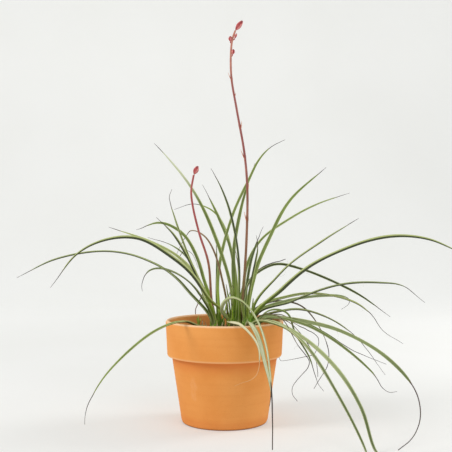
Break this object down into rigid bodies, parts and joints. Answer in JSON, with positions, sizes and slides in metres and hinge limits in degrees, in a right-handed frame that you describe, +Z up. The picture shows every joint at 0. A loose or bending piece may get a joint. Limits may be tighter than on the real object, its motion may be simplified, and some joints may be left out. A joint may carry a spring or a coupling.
{
  "type": "potted hesperaloe",
  "caption": "Young hesperaloe in a round clay pot: arching, drooping strap leaves with dry tips, a short and a tall red flower stalk with buds, soil below the rim.",
  "frame": {"origin": "centre of the pot's underside, on the surface it stands on, which is also the middle of the plant's spread", "axes": "+Z up; -Y towards the viewer; +X to the right, along the longest spread of the leaves"},
  "size_m": [0.6133, 0.4736, 0.5472],
  "materials": {
    "clay": "matte",
    "soil": "matte",
    "crown": "satin",
    "leaf": "satin",
    "pale_leaf": "satin",
    "dark_leaf": "satin",
    "dry_leaf": "matte",
    "stalk": "satin",
    "bud": "satin"
  },
  "bodies": {
    "root": {"pot": "clay", "soil": "soil", "crown_a": "crown", "crown_b": "crown", "crown_c": "crown", "crown_d": "crown", "leaf_a01": "leaf", "leaf_a02": "leaf", "leaf_a03": "dark_leaf", "leaf_a04": "leaf", "leaf_a05": "pale_leaf", "leaf_a06": "dry_leaf", "leaf_a07": "leaf", "leaf_a08": "leaf", "leaf_a09": "leaf", "leaf_a10": "leaf", "leaf_a11": "dark_leaf", "leaf_b01": "leaf", "leaf_b02": "pale_leaf", "leaf_b03": "leaf", "leaf_b04": "leaf", "leaf_b05": "dark_leaf", "leaf_b06": "leaf", "leaf_b07": "leaf", "leaf_b08": "dry_leaf", "leaf_b09": "leaf", "leaf_b10": "pale_leaf", "leaf_b11": "dark_leaf", "leaf_b12": "dark_leaf", "leaf_c01": "leaf", "leaf_c02": "dark_leaf", "leaf_c03": "leaf", "leaf_c04": "leaf", "leaf_c05": "leaf", "leaf_c06": "leaf", "leaf_c07": "leaf", "leaf_c08": "leaf", "leaf_c09": "dark_leaf", "leaf_c10": "dry_leaf", "leaf_c11": "leaf", "leaf_c12": "dry_leaf", "leaf_d01": "leaf", "leaf_d02": "leaf", "leaf_d03": "dark_leaf", "leaf_d04": "pale_leaf", "leaf_d05": "pale_leaf", "leaf_d06": "dark_leaf", "leaf_d07": "dry_leaf", "leaf_d08": "dry_leaf", "leaf_d09": "pale_leaf", "stalk_tall": "stalk", "stalk_short": "stalk", "bud_tip": "bud", "bud_tip_side": "bud", "bud_left": "bud", "bud_right": "bud", "bud_short": "bud", "bract_upper": "stalk", "bract_middle": "stalk", "bract_lower": "stalk"}
  },
  "joints": []
}
